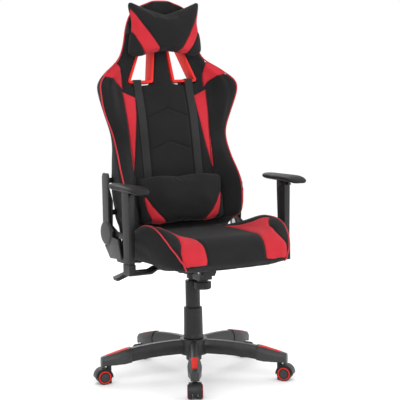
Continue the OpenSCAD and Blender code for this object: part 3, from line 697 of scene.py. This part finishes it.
@dataclass
class ReclineFrame:
    """The backrest's own axes: x across, d rearwards and w up its slope, in millimetres."""

    pivot: tuple[float, float] = (125.0, 506.0)
    lean: float = math.radians(8.0)

    def local(self, points: np.ndarray) -> np.ndarray:
        """Returns points, in metres, as rows of x, d and w in millimetres."""
        y, z = points[:, 1] / MM - self.pivot[0], points[:, 2] / MM - self.pivot[1]
        c, s = math.cos(self.lean), math.sin(self.lean)
        return np.column_stack([points[:, 0] / MM, y * c - z * s, y * s + z * c])

    def world(self, rows: np.ndarray) -> np.ndarray:
        """Returns rows of x, d and w as points in metres."""
        rows = np.asarray(rows, float)
        c, s = math.cos(self.lean), math.sin(self.lean)
        y = rows[:, 1] * c + rows[:, 2] * s + self.pivot[0]
        z = -rows[:, 1] * s + rows[:, 2] * c + self.pivot[1]
        return np.column_stack([rows[:, 0], y, z]) * MM


RED_STRIPE: Outline = ((116, 461), (166, 483), (163, 412), (160, 340), (160, 262), (158, 192),
                       (151, 222), (135, 315), (121, 408))
SHOULDER: Outline = ((180, 588), (166, 562), (159, 530), (160, 489), (178, 509), (207, 527), (240, 534),
                     (320, 545), (320, 604), (204, 596))
CHEVRONS = (((-84, 388), (0, 420), (84, 388)), ((-84, 273), (0, 303), (84, 273)))
PANEL_EDGE = 83.0
SEAT_RED: Outline = ((148, -40), (139, 60), (131, 110), (122, 212), (113, 289), (111, 360), (113, 404),
                     (192, 404), (200, 350), (201, 315), (192, 285), (183, 250), (181, 214), (196, 186),
                     (219, 158), (211, 133), (184, 106), (167, 50), (151, -40))
SEAT_TOP = 505.0


@dataclass
class Backrest:
    """The back cushion with its sewn panels and piping."""

    palette: Palette
    nodes: dict[str, bpy.types.Object]
    axes: ReclineFrame
    seam_depth: float = 0.0028
    seam_width: float = 0.0042

    def build(self) -> bpy.types.Object:
        """Makes the cushion and what is sewn to it. Returns the cushion."""
        cushion = Padding(cap=0.005).fill(self.nodes["back_cushion"], "back_cushion_cover", self._lip)
        rows = self.axes.local(coordinates(cushion))
        facing = self._facing(cushion)
        sides = np.column_stack([np.abs(rows[:, 0]), rows[:, 2]])
        fields = [signed_distance(sides, o) for o in (RED_STRIPE, SHOULDER)]
        accent = np.maximum.reduce(fields)
        seam = np.minimum.reduce([np.abs(f) for f in fields])
        plane = rows[:, [0, 2]]
        for line in CHEVRONS:
            seam = np.minimum(seam, line_distance(plane, line))
        for side in Side:
            edge = side.value * PANEL_EDGE
            seam = np.minimum(seam, line_distance(plane, ((edge, 120), (edge, 512))))
        wing = ((148, 60), (152, 190), (158, 340), (164, 470), (160, 560))
        seam = np.minimum(seam, line_distance(sides, wing))
        seam = np.where(facing, seam, 60.0) * MM
        accent = np.where(facing, accent, -60.0) * MM
        press_seams(cushion, seam, self.seam_depth, self.seam_width)
        self._press_under_straps(cushion)
        write_field(cushion, "accent", accent)
        write_field(cushion, "seam", seam)
        self.palette.coat(cushion, "upholstery_cloth")
        finish_piece(cushion, "back", "back_fabric", "back_cushion")
        self._piping(cushion)
        return cushion

    def _lip(self, points: np.ndarray) -> np.ndarray:
        """Hangs the rear of the cushion's foot lower and a little wider. Returns the points."""
        rows = self.axes.local(points)
        across, w = np.abs(rows[:, 0]), rows[:, 2].copy()
        behind = np.clip((rows[:, 1] + 26) / 24, 0, 1)
        low = np.clip((16 - w) / 28, 0, 1)
        corner = np.clip((across - 140) / 60, 0, 1)
        edge = np.interp(w, (-12, 40, 90), (210, 230, 239))
        widen = np.where(w < 90, 240 / edge - 1, 0.0) * behind * corner
        rows[:, 0] *= 1 + widen
        rows[:, 1] += 8.0 * behind * corner * np.clip((60 - w) / 72, 0, 1)
        rows[:, 2] -= 17.0 * behind * low
        return self.axes.world(rows)

    def _press_under_straps(self, cushion: bpy.types.Object) -> None:
        """Sinks the cover under the two front straps, so that they lie on it."""
        strap = self.axes.local(coordinates(self.nodes["lumbar_straps"]))
        rows = self.axes.local(coordinates(cushion))
        top = float(strap[:, 2].max())
        mid = (strap[:, 1].min() + strap[:, 1].max()) / 2
        front = strap[(strap[:, 1] < mid) & (strap[:, 2] < top - 4)]
        levels = np.unique(np.round(front[:, 2], 0))
        rear = np.array([front[np.abs(front[:, 2] - w) < 1.0][:, 1].max() for w in levels])
        side = np.abs(front[:, 0])
        across = np.abs(rows[:, 0])
        reach, fade = 9.0, 7.0
        inside = np.clip((across - side.min() + reach) / fade, 0, 1)
        inside *= np.clip((side.max() + reach - across) / fade, 0, 1)
        limit = np.interp(rows[:, 2], levels, rear) + 0.8
        here = (rows[:, 2] > levels.min() - 6) & (rows[:, 2] < levels.max() + 8) & (rows[:, 1] < limit)
        near = here & (rows[:, 1] > limit - 14)
        rows[:, 1] = np.where(near, rows[:, 1] + (limit - rows[:, 1]) * inside, rows[:, 1])
        place(cushion, self.axes.world(rows))

    def _facing(self, cushion: bpy.types.Object) -> np.ndarray:
        """Returns which vertices are on the side that the sitter leans on."""
        n = normals(cushion)
        forward = -(n[:, 1] * math.cos(self.axes.lean) - n[:, 2] * math.sin(self.axes.lean))
        return forward > -0.15

    def _piping(self, cushion: bpy.types.Object) -> None:
        """Lays the red piping up each edge and over the top."""
        edge = ((206, -60, 22), (222, -92, 50), (229, -100, 105), (230, -98, 161), (227, -73, 218),
                (224, -46, 285), (236, -35, 350), (257, -42, 410), (272, -64, 468), (268, -61, 508),
                (246, -48, 545), (216, -34, 572), (187, -22, 594), (166, -14, 622), (155, -14, 655),
                (147, -20, 690), (138, -28, 722), (124, -32, 746), (104, -34, 768), (70, -36, 786),
                (30, -36, 798), (0, -36, 801))
        half = [list(p) for p in edge]
        route = half + [[-x, d, w] for x, d, w in reversed(half[:-1])]
        line = self.axes.world(rounded(route, 7))
        cord = piping("back_piping", cushion, line)
        self.palette.coat(cord, "red_piping")
        finish_piece(cord, "back", "back_fabric")


@dataclass
class Seat:
    """The seat cushion with its bolsters' panels and piping."""

    palette: Palette
    nodes: dict[str, bpy.types.Object]

    def build(self) -> bpy.types.Object:
        """Makes the cushion and its piping. Returns the cushion."""
        cushion = Padding(cap=0.005).fill(self.nodes["seat_cushion"], "seat_cushion_cover")
        p = coordinates(cushion) / MM
        across = np.abs(p[:, 0])
        run = -p[:, 1] + np.maximum(0.0, SEAT_TOP - p[:, 2])
        flat = np.column_stack([across, run])
        field = signed_distance(flat, SEAT_RED)
        facing = (normals(cushion)[:, 2] > -0.35) & (p[:, 2] > 404) & (p[:, 1] < 72)
        seam = np.abs(field)
        ridge = self._ridge()
        mirrored = np.column_stack([across, p[:, 1], p[:, 2]])
        seam = np.minimum(seam, line_distance(mirrored, ridge))
        seam = np.where(facing, seam, 60.0) * MM
        press_seams(cushion, seam, 0.0028, 0.0045, crown=0.002)
        write_field(cushion, "accent", np.where(facing, field, -60.0) * MM)
        write_field(cushion, "seam", seam)
        self.palette.coat(cushion, "upholstery_cloth")
        finish_piece(cushion, "seat", "seat_fabric", "seat_cushion")
        for side in Side:
            line = rounded(ridge, 8) * np.array([side.value, 1, 1]) * MM
            cord = piping(f"seat_piping_{side.name.lower()}", cushion, line)
            self.palette.coat(cord, "red_piping")
            finish_piece(cord, "seat", "seat_fabric")
        return cushion

    @staticmethod
    def _ridge() -> tuple[tuple[float, float, float], ...]:
        """Returns the piping's route along one bolster, from the rear to the front's foot."""
        return ((222, 62, 509), (227, 0, 526), (229, -60, 543), (232, -138, 555), (236, -217, 538),
                (228, -267, 499), (210, -298, 461), (193, -306, 428), (187, -300, 414))


# ---------------------------------------------------------------- pillows and straps

HEAD_RED_RIGHT: Outline = ((172, 800), (151, 758), (142, 706), (132, 682), (121, 658), (108, 638),
                           (96, 619), (84, 604), (70, 586), (4, 586), (20, 608), (42, 636), (65, 665), (84, 690), (104, 717),
                           (124, 745), (140, 769), (150, 800))
HEAD_RED_LEFT: Outline = ((172, 800), (146, 758), (136, 704), (129, 686), (120, 668), (110, 648),
                          (99, 629), (80, 603), (66, 586), (26, 586), (44, 609), (59, 627), (71, 647), (84, 668), (96, 690),
                          (109, 712), (120, 734), (129, 752), (135, 770), (146, 800))
LUMBAR_RED: Outline = ((150, 112), (152, 100), (145, 62), (128, 22), (120, 0), (70, 0), (78, 22), (108, 52),
                       (128, 78), (143, 104))


@dataclass
class Pillows:
    """The head and lumbar pillows with the bands that hold them."""

    palette: Palette
    nodes: dict[str, bpy.types.Object]
    axes: ReclineFrame
    cushion: bpy.types.Object

    def build(self) -> None:
        """Makes both pillows and their bands."""
        self._pillow("head_pillow", "back", (HEAD_RED_RIGHT, HEAD_RED_LEFT),
                     Padding(voxel=0.005, tuck=0.004, cap=0.009, relax=1))
        self._pillow("lumbar_pillow", "lumbar", (LUMBAR_RED, LUMBAR_RED),
                     Padding(voxel=0.005, tuck=0.004, cap=0.009, relax=2))
        self._band("lumbar_straps")
        self._head_band()

    def _pillow(self, node: str, body: str, outlines: tuple[Outline, Outline], padding: Padding) -> None:
        """Fills one pillow and sews its panels, the sitter's right one first."""
        drape = self._drape if node == "head_pillow" else None
        pillow = padding.fill(self.nodes[node], f"{node}_cover", drape)
        rows = self.axes.local(coordinates(pillow))
        sides = np.column_stack([np.abs(rows[:, 0]), rows[:, 2]])
        right, left = (signed_distance(sides, outline) for outline in outlines)
        field = np.where(rows[:, 0] < 0, right, left)
        n = normals(pillow)
        facing = -(n[:, 1] * math.cos(self.axes.lean) - n[:, 2] * math.sin(self.axes.lean)) > -0.1
        seam = np.where(facing, np.abs(field), 60.0) * MM
        press_seams(pillow, seam, 0.0022, 0.0040, crown=0.0015)
        write_field(pillow, "accent", np.where(facing, field, -60.0) * MM)
        write_field(pillow, "seam", seam)
        self.palette.coat(pillow, "pillow_cloth")
        finish_piece(pillow, body, "pillow_fabric", node)

    def _drape(self, points: np.ndarray) -> np.ndarray:
        """Draws the head pillow's flanks in and rounds its lower corners. Returns the points."""
        rows = self.axes.local(points)
        x, w = rows[:, 0], rows[:, 2]
        across = np.abs(x)
        waist = 9.0 * np.exp(-((w - 712) / 34.0) ** 2) * np.clip((across - 90) / 50, 0, 1)
        corner = np.clip((across - 96) / 54, 0, 1) ** 2 * np.clip((632 - w) / 44, 0, 1)
        rows[:, 0] = x - np.sign(x) * waist
        rows[:, 2] = w + 17.0 * corner
        swell = np.clip(1 - (across / 150) ** 2, 0, 1) * np.clip(1 - ((w - 672) / 80) ** 2, 0, 1)
        front = rows[:, 1] < np.median(rows[:, 1])
        rows[:, 1] -= np.where(front, 7.0 * swell, 0.0)
        return self.axes.world(rows)

    def _head_band(self) -> None:
        """Lays the head pillow's band round the back, on the cover."""
        rows = self.axes.local(coordinates(self.nodes["head_strap"]))
        low, high = float(rows[:, 2].min()) + 1, float(rows[:, 2].max()) - 1
        middle = float(np.median(self.axes.local(coordinates(self.cushion))[:, 1]))
        body = bmesh.new()
        body.from_mesh(self.cushion.data)
        tree = BVHTree.FromBMesh(body)
        body.free()
        across, up, outside = 72, 6, 260
        points = []
        for w in np.linspace(low, high, up):
            for turn in np.radians(np.linspace(-104, 104, across)):
                start, centre = self.axes.world([
                    [outside * math.sin(turn), middle + outside * math.cos(turn), w],
                    [60 * math.sin(turn), middle, w]])
                inward = Vector(centre - start).normalized()
                hit, _, _, _ = tree.ray_cast(Vector(start), inward, 0.4)
                points.append(hit - inward * 0.0009)
        faces = [(r * across + c, (r + 1) * across + c, (r + 1) * across + c + 1, r * across + c + 1)
                 for r in range(up - 1) for c in range(across - 1)]
        mesh = bpy.data.meshes.new("head_band")
        mesh.from_pydata(points, [], faces)
        band = bpy.data.objects.new("head_band", mesh)
        bpy.context.scene.collection.objects.link(band)
        relax = band.modifiers.new("relax", "SMOOTH")
        relax.factor, relax.iterations = 0.5, 2
        thick = band.modifiers.new("thickness", "SOLIDIFY")
        thick.thickness, thick.offset = 0.0018, 0.0
        apply_modifiers(band)
        activate(band)
        bpy.ops.object.mode_set(mode="EDIT")
        bpy.ops.mesh.select_all(action="SELECT")
        bpy.ops.mesh.normals_make_consistent(inside=False)
        bpy.ops.object.mode_set(mode="OBJECT")
        smooth(band)
        self.palette.coat(band, "elastic_webbing")
        finish_piece(band, "back", "strap_webbing", "head_strap")

    def _band(self, node: str) -> None:
        """Makes a band of webbing from its solid, with softened edges."""
        band = node_copy(self.nodes[node], f"{node}_webbing")
        bevel = band.modifiers.new("edge", "BEVEL")
        bevel.width, bevel.segments, bevel.limit_method = 0.0007, 2, "ANGLE"
        apply_modifiers(band)
        smooth(band)
        self.palette.coat(band, "elastic_webbing")
        finish_piece(band, "back", "strap_webbing", node)


# ---------------------------------------------------------------- rigid parts


@dataclass(frozen=True)
class Trim:
    """How a moulded or welded part is finished: its body, slot, finish and edge radius."""

    body: str
    slot: str
    finish: str
    edge: float = 0.0008


class Hardware:
    """The rigid parts, each with its own finish; those listed in detail also get their edges broken."""

    detailed: dict[str, Trim] = {
        "base_star": Trim("base", "black_nylon", "satin_nylon", 0.0022),
        "tip_caps": Trim("base", "grey_nylon", "grey_nylon", 0.0016),
        "leg_inserts": Trim("base", "red_plastic", "red_moulding", 0.0006),
        "lower_sleeve": Trim("base", "black_nylon", "black_nylon", 0.0012),
        "upper_sleeve": Trim("carriage", "black_nylon", "black_nylon", 0.0012),
        "mechanism_housing": Trim("carriage", "black_steel", "powder_coat", 0.0010),
        "tension_knob": Trim("knob", "black_nylon", "black_nylon", 0.0008),
        "lever_paddle": Trim("lift_lever", "black_nylon", "black_nylon", 0.0016),
        "side_plates": Trim("seat", "black_steel", "powder_coat", 0.0006),
        "hinge_cover_right": Trim("seat", "black_nylon", "satin_nylon", 0.0020),
        "back_cover_right": Trim("back", "black_nylon", "satin_nylon", 0.0024),
        "hinge_cap_left": Trim("back", "black_nylon", "black_nylon", 0.0010),
        "recline_lever": Trim("recline_lever", "black_nylon", "black_nylon", 0.0010),
        "window_rims": Trim("back", "red_plastic", "red_moulding", 0.0018),
        "arm_post_right": Trim("arm_right", "black_nylon", "black_nylon", 0.0024),
        "arm_post_left": Trim("arm_left", "black_nylon", "black_nylon", 0.0024),
        "arm_bracket_right": Trim("seat", "black_steel", "powder_coat", 0.0010),
        "arm_bracket_left": Trim("seat", "black_steel", "powder_coat", 0.0010),
    }
    plain: dict[str, str] = {
        "column_tube": "powder_coat", "column_guide": "black_nylon", "piston_rod": "zinc_steel",
        "thrust_bearing": "zinc_steel", "gas_cylinder": "powder_coat", "valve_pin": "zinc_steel",
        "lift_lever": "powder_coat", "tension_bolt": "zinc_steel", "tension_spring": "zinc_steel",
        "tilt_pin": "zinc_steel", "seat_plate": "powder_coat", "seat_frame": "powder_coat",
        "seat_webbing": "elastic_webbing", "frame_bolts": "zinc_steel", "recline_pins": "zinc_steel",
        "back_frame": "powder_coat", "arm_trigger_right": "black_nylon", "arm_trigger_left": "black_nylon",
    }

    def __init__(self, palette: Palette, nodes: dict[str, bpy.types.Object]) -> None:
        self.palette = palette
        self.nodes = nodes

    def build(self) -> None:
        """Finishes every rigid part apart from the arm pads and casters."""
        for name, trim in self.detailed.items():
            self._break_edges(name, trim)
        for name, finish in self.plain.items():
            self.palette.coat(self.nodes[name], finish)
        for side in Side:
            self._arm_pad(side)

    def _break_edges(self, name: str, trim: Trim) -> None:
        """Replaces a CAD node with a copy whose edges are rounded."""
        piece = node_copy(self.nodes[name], f"{name}_moulded")
        bevel = piece.modifiers.new("edge", "BEVEL")
        bevel.width, bevel.segments = trim.edge, 3
        bevel.limit_method, bevel.angle_limit = "ANGLE", math.radians(32)
        apply_modifiers(piece)
        smooth(piece, 40)
        self.palette.coat(piece, trim.finish)
        finish_piece(piece, trim.body, trim.slot, name)

    def _arm_pad(self, side: Side) -> None:
        """Makes one soft arm pad, smooth and full."""
        node = f"arm_pad_{side.name.lower()}"
        pad = Padding(voxel=0.004, tuck=0.0006, cap=0.001, relax=1).fill(self.nodes[node], f"{node}_skin")
        self.palette.coat(pad, "pad_skin")
        finish_piece(pad, f"arm_{side.name.lower()}", "pad_rubber", node)


@dataclass
class Casters:
    """The five twin-wheel casters: hoods, treads, red rings and hub caps."""

    palette: Palette
    nodes: dict[str, bpy.types.Object]
    ring_r: float = 0.0195
    cap_r: float = 0.0145

    def build(self) -> None:
        """Dresses all five casters."""
        for k in range(1, 6):
            self.palette.coat(self.nodes[f"caster_{k}_stem"], "zinc_steel")
            self._soften(f"caster_{k}_hood", f"caster_{k}", "black_nylon", "black_nylon", 0.0010)
            self._soften(f"caster_{k}_wheels", f"wheels_{k}", "wheel_tread", "tread_rubber", 0.0012)
            self._faces(k)

    def _soften(self, name: str, body: str, slot: str, finish: str, edge: float) -> None:
        """Replaces a caster's node with a copy whose edges are rounded."""
        piece = node_copy(self.nodes[name], f"{name}_moulded")
        bevel = piece.modifiers.new("edge", "BEVEL")
        bevel.width, bevel.segments = edge, 2
        bevel.limit_method, bevel.angle_limit = "ANGLE", math.radians(32)
        apply_modifiers(piece)
        smooth(piece, 40)
        self.palette.coat(piece, finish)
        finish_piece(piece, body, slot, name)

    def _faces(self, k: int) -> None:
        """Puts the red ring and the hub cap on the outer face of both wheels of one caster."""
        points = coordinates(self.nodes[f"caster_{k}_wheels"])
        centre = Vector((points.min(0) + points.max(0)) / 2)
        flat = points[:, :2] - np.array(centre)[:2]
        along = self._axle(flat)
        for end in (-1, 1):
            outward = Vector((along[0] * end, along[1] * end, 0.0))
            half = float(np.max(flat @ np.array(along)))
            face = centre + outward * half
            turn = outward.to_track_quat("Z", "Y").to_matrix().to_4x4()
            label = f"{k}_{'a' if end < 0 else 'b'}"
            ring = self._ring(f"wheel_ring_{label}", face, turn)
            self.palette.coat(ring, "red_moulding")
            finish_piece(ring, f"wheels_{k}", "red_plastic")
            cap = self._cap(f"hub_cap_{label}", face, turn)
            self.palette.coat(cap, "grey_nylon")
            finish_piece(cap, f"wheels_{k}", "grey_nylon")

    @staticmethod
    def _axle(flat: np.ndarray) -> tuple[float, float]:
        """Returns the axle's level direction: the one along which the wheels' faces are flat."""
        best, chosen = -1.0, (1.0, 0.0)
        for degree in range(0, 180):
            a = math.radians(degree)
            reach = flat @ np.array((math.cos(a), math.sin(a)))
            share = float(np.mean(reach > reach.max() - 0.0004))
            if share > best:
                best, chosen = share, (math.cos(a), math.sin(a))
        return chosen

    def _ring(self, name: str, face: Vector, turn: Matrix) -> bpy.types.Object:
        """Makes a red ring, set in a wheel's face. Returns it."""
        deselect()
        bpy.ops.mesh.primitive_torus_add(major_segments=48, minor_segments=10,
                                         major_radius=self.ring_r, minor_radius=0.0021)
        ring = bpy.context.object
        ring.name = name
        ring.data.transform(Matrix.Diagonal((1, 1, 0.75, 1)))
        ring.data.transform(Matrix.Translation(face) @ turn @ Matrix.Translation((0, 0, 0.0002)))
        ring.data.shade_smooth()
        return ring

    def _cap(self, name: str, face: Vector, turn: Matrix) -> bpy.types.Object:
        """Makes a domed hub cap with a stepped rim. Returns it."""
        deselect()
        bpy.ops.mesh.primitive_cylinder_add(vertices=40, radius=self.cap_r, depth=0.004)
        cap = bpy.context.object
        cap.name = name
        bpy.ops.object.mode_set(mode="EDIT")
        bpy.ops.mesh.select_mode(type="FACE")
        bpy.ops.mesh.select_all(action="DESELECT")
        shell = bmesh.from_edit_mesh(cap.data)
        for side in shell.faces:
            side.select_set(side.normal.z > 0.9)
        bmesh.update_edit_mesh(cap.data)
        bpy.ops.mesh.inset(thickness=0.0030, depth=-0.0006)
        bpy.ops.mesh.inset(thickness=0.0050, depth=0.0009)
        bpy.ops.object.mode_set(mode="OBJECT")
        bevel = cap.modifiers.new("edge", "BEVEL")
        bevel.width, bevel.segments, bevel.limit_method = 0.0005, 2, "ANGLE"
        apply_modifiers(cap)
        smooth(cap)
        cap.data.transform(Matrix.Translation(face) @ turn @ Matrix.Translation((0, 0, -0.0014)))
        return cap


# ---------------------------------------------------------------- studio


@dataclass
class Studio:
    """A pale floor, soft lights and the camera."""

    azimuth: float = math.radians(-28.97)
    elevation: float = math.radians(6.27)
    distance: float = 4.388
    target: tuple[float, float, float] = (0.0, 0.0, 0.612)
    lens: float = 114.87
    roll: float = math.radians(1.077)
    shift: float = 0.02258

    def build(self) -> None:
        """Sets up the camera, the lights and the floor."""
        self._camera()
        self._world()
        self._floor()
        self._light("key", (-1.9, -2.6, 2.6), 2.4, 52.0)
        self._light("fill", (2.4, -1.9, 1.7), 2.6, 30.0)
        self._light("rim", (0.6, 2.5, 2.3), 2.0, 26.0)

    def _camera(self) -> None:
        """Aims the camera with its slight roll."""
        a, e, r = self.azimuth, self.elevation, self.roll
        back = Vector((math.sin(a) * math.cos(e), -math.cos(a) * math.cos(e), math.sin(e)))
        right = Vector((math.cos(a), math.sin(a), 0.0))
        up = back.cross(right)
        across = right * math.cos(r) - up * math.sin(r)
        upward = right * math.sin(r) + up * math.cos(r)
        camera = bpy.data.objects.new("camera", bpy.data.cameras.new("camera"))
        bpy.context.scene.collection.objects.link(camera)
        camera.data.lens = self.lens
        camera.data.sensor_width = 36.0
        camera.data.shift_x = self.shift
        frame = Matrix((across, upward, back)).transposed().to_4x4()
        camera.matrix_world = Matrix.Translation(Vector(self.target) + back * self.distance) @ frame
        bpy.context.scene.camera = camera

    @staticmethod
    def _world() -> None:
        """Lights the scene evenly from all round."""
        world = bpy.data.worlds.new("studio")
        bpy.context.scene.world = world
        world.use_nodes = True
        world.node_tree.nodes["Background"].inputs["Color"].default_value = (1, 1, 1, 1)
        world.node_tree.nodes["Background"].inputs["Strength"].default_value = 1.0
        bpy.context.scene.view_settings.view_transform = "Standard"

    @staticmethod
    def _floor() -> None:
        """Lays the pale floor."""
        deselect()
        bpy.ops.mesh.primitive_plane_add(size=60)
        floor = bpy.context.object
        floor.name = "studio_floor"
        material, shader = _shell("studio_floor")
        shader.inputs["Base Color"].default_value = (1.0, 1.0, 1.0, 1)
        shader.inputs["Roughness"].default_value = 1.0
        shader.inputs["Specular IOR Level"].default_value = 0.0
        floor.data.materials.append(material)

    def _light(self, name: str, spot: tuple[float, float, float], size: float, power: float) -> None:
        """Hangs one soft square light, turned to the chair."""
        light = bpy.data.objects.new(name, bpy.data.lights.new(name, "AREA"))
        bpy.context.scene.collection.objects.link(light)
        light.data.size = size
        light.data.energy = power
        light.location = spot
        aim = Vector(self.target) - Vector(spot)
        light.rotation_euler = aim.to_track_quat("-Z", "Y").to_euler()


def main() -> None:
    """Builds the chair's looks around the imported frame."""
    logging.basicConfig(level=logging.INFO, format="%(message)s")
    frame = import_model()
    nodes = frame["nodes"]
    palette = Palette()
    axes = ReclineFrame()
    Studio().build()
    Hardware(palette, nodes).build()
    Casters(palette, nodes).build()
    Seat(palette, nodes).build()
    cushion = Backrest(palette, nodes, axes).build()
    Pillows(palette, nodes, axes, cushion).build()


if __name__ == "__main__":
    main()
